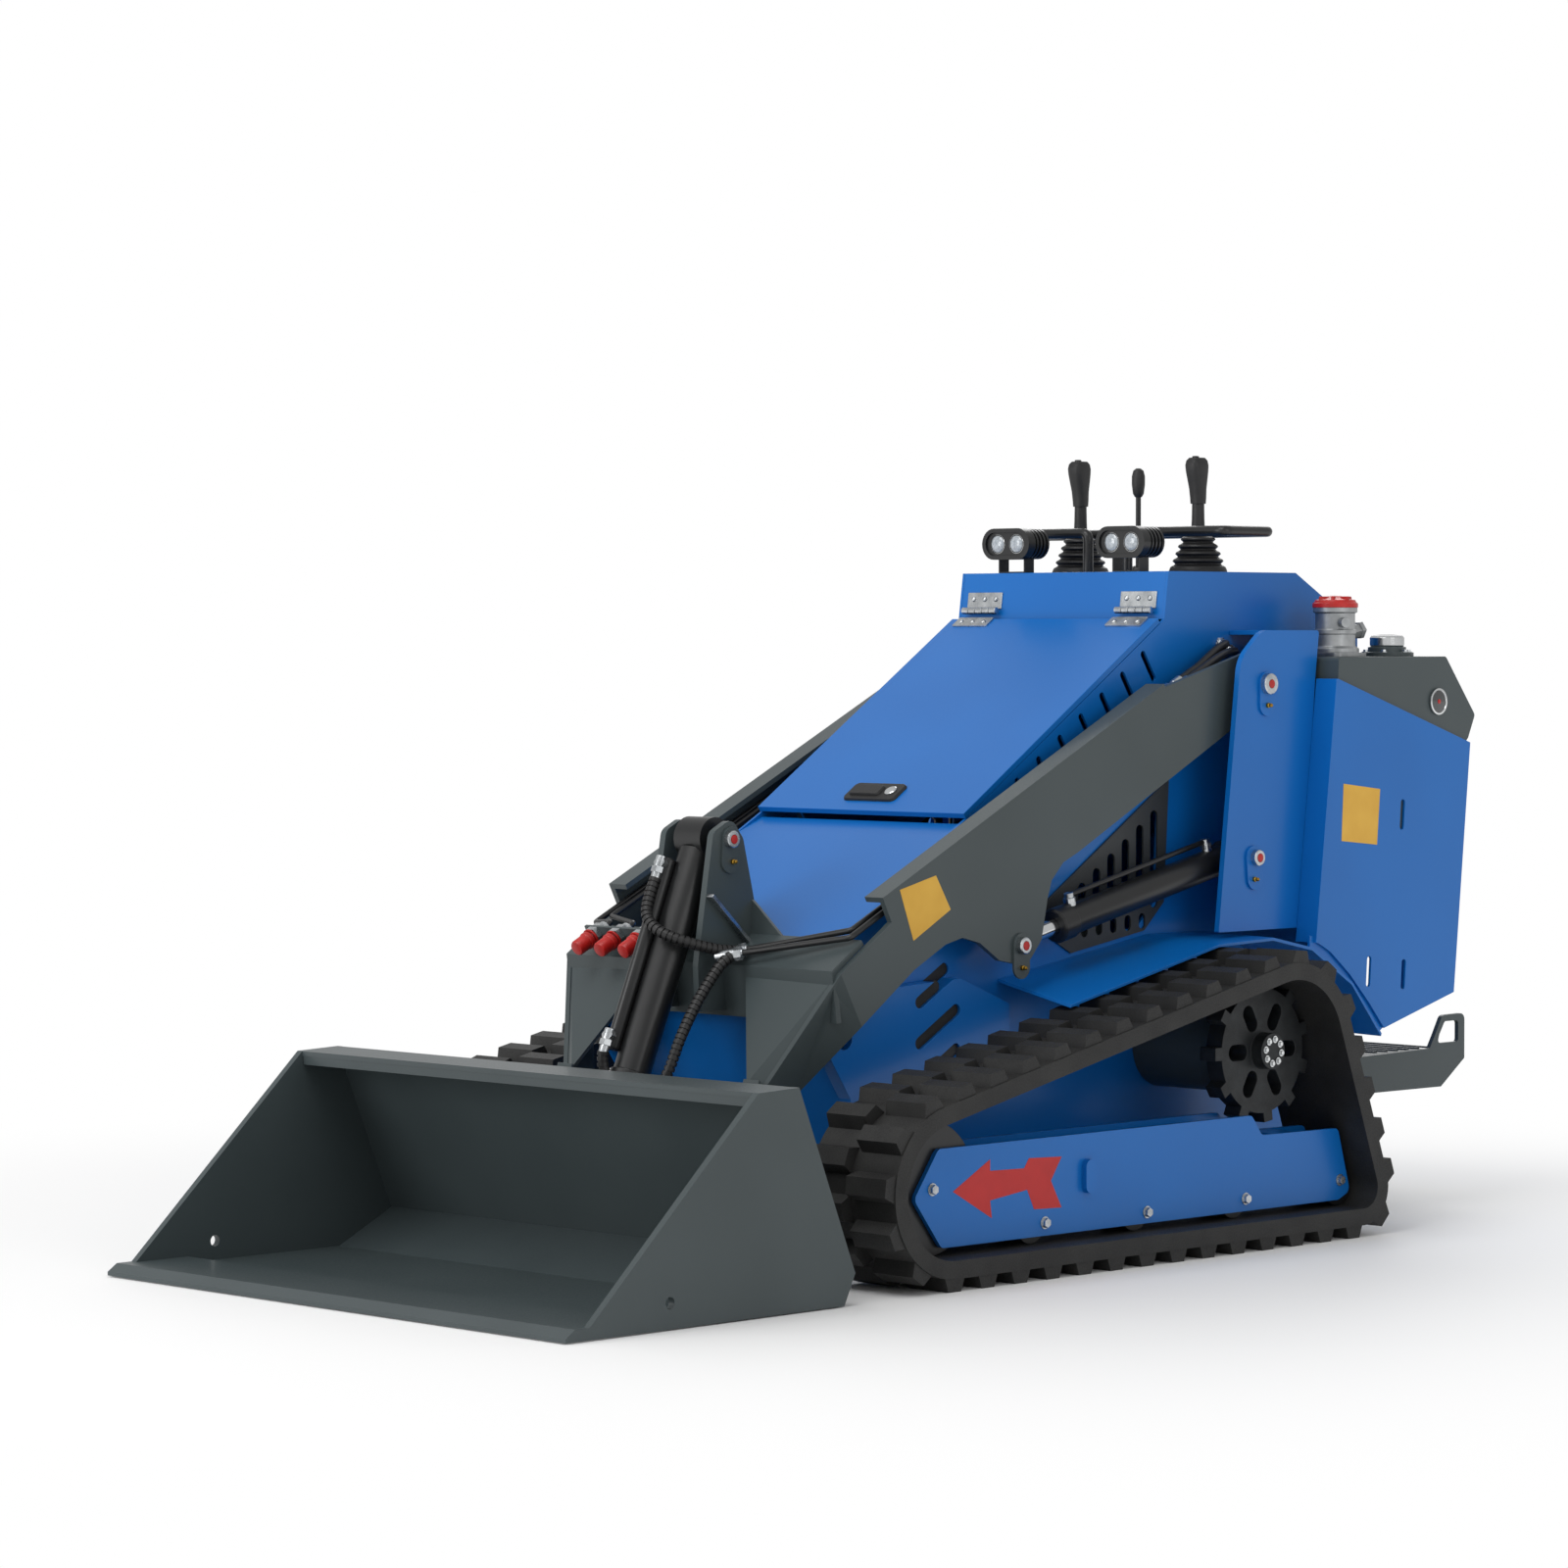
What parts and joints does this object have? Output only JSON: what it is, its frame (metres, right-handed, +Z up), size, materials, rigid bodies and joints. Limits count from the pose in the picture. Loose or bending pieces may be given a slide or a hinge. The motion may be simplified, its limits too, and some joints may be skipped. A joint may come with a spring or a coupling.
{
  "type": "compact tracked stand-on loader with lift arms and bucket",
  "caption": "Small stand-on tracked loader: lift arms with hydraulic cylinders, tilting bucket on a quick coupler, opening engine hood and a rear platform.",
  "frame": {"origin": "on the floor under the middle of the machine's length and width, bucket lowered to the floor", "axes": "+X forward to the bucket, +Y to the machine's left, +Z up from the floor"},
  "size_m": [2.378, 1.06, 1.308],
  "materials": {
    "blue_paint": "gloss powder coat, blue",
    "grey_paint": "satin powder coat, dark grey",
    "black_paint": "satin black paint",
    "track_rubber": "moulded black rubber",
    "cast_steel": "cast and turned steel, dark",
    "chrome_rod": "hard chrome, polished",
    "black_plastic": "moulded black plastic"
  },
  "bodies": {
    "chassis": {"centre_lever": "black_plastic", "console": "blue_paint", "drive_motor_left": "grey_paint", "drive_motor_right": "grey_paint", "engine_block": "grey_paint", "fender_left": "blue_paint", "fender_right": "blue_paint", "filter_cap": "black_plastic", "filter_housing": "black_plastic", "fuel_tank": "grey_paint", "hand_bar": "black_paint", "hull_side_left": "blue_paint", "hull_side_right": "blue_paint", "hydraulic_tank": "grey_paint", "joystick_left": "black_plastic", "joystick_right": "black_plastic", "nose_panel": "blue_paint", "platform": "grey_paint", "rollers_left": "cast_steel", "rollers_right": "cast_steel", "side_panel_left": "blue_paint", "side_panel_right": "blue_paint", "sprocket_left": "cast_steel", "sprocket_right": "cast_steel", "tower_left": "grey_paint", "tower_right": "grey_paint", "track_frame_left": "blue_paint", "track_frame_right": "blue_paint", "track_left": "track_rubber", "track_right": "track_rubber", "work_lamp_left": "black_plastic", "work_lamp_right": "black_plastic"},
    "hood": {"hood_lid": "blue_paint"},
    "lift_arms": {"lift_arm_left": "grey_paint", "lift_arm_right": "grey_paint", "arm_yoke": "grey_paint"},
    "lift_barrels": {"lift_barrel_left": "black_paint", "lift_barrel_right": "black_paint"},
    "lift_rods": {"lift_rod_left": "chrome_rod", "lift_rod_right": "chrome_rod"},
    "tilt_barrel": {"tilt_barrel": "black_paint"},
    "tilt_rod": {"tilt_rod": "chrome_rod"},
    "bucket": {"quick_coupler": "grey_paint", "bucket": "grey_paint"}
  },
  "joints": [
    {"name": "arm_lift", "type": "hinge", "parent": "chassis", "child": "lift_arms", "pos_m": [-0.57, 0, 0.919], "axis": [0, -1, 0], "range_deg": [0, 75]},
    {"name": "lift_barrel_swing", "type": "hinge", "parent": "chassis", "child": "lift_barrels", "pos_m": [-0.541, 0, 0.628], "axis": [0, -1, 0], "range_deg": [0, 67.8]},
    {"name": "lift_rod_slide", "type": "slide", "parent": "lift_barrels", "child": "lift_rods", "axis": [0.9748, 0, -0.2232], "range_m": [0, 0.345]},
    {"name": "bucket_tilt", "type": "hinge", "parent": "lift_arms", "child": "bucket", "pos_m": [0.558, 0, 0.062], "axis": [0, 1, 0], "range_deg": [-18, 110]},
    {"name": "tilt_barrel_swing", "type": "hinge", "parent": "lift_arms", "child": "tilt_barrel", "pos_m": [0.411, 0, 0.678], "axis": [0, 1, 0], "range_deg": [-2, 2]},
    {"name": "tilt_rod_slide", "type": "slide", "parent": "tilt_barrel", "child": "tilt_rod", "axis": [0.3882, 0, -0.9216], "range_m": [-0.042, 0.253]},
    {"name": "hood_open", "type": "hinge", "parent": "chassis", "child": "hood", "pos_m": [-0.426, 0, 1.043], "axis": [0, -1, 0], "range_deg": [0, 75]}
  ],
  "couplings": [
    {"joint": "lift_barrel_swing", "follows": "arm_lift", "ratio": 0.903},
    {"joint": "lift_rod_slide", "follows": "arm_lift", "m_per_rad": 0.263},
    {"joint": "tilt_barrel_swing", "follows": "bucket_tilt", "ratio": -0.01},
    {"joint": "tilt_rod_slide", "follows": "bucket_tilt", "m_per_rad": 0.131}
  ]
}
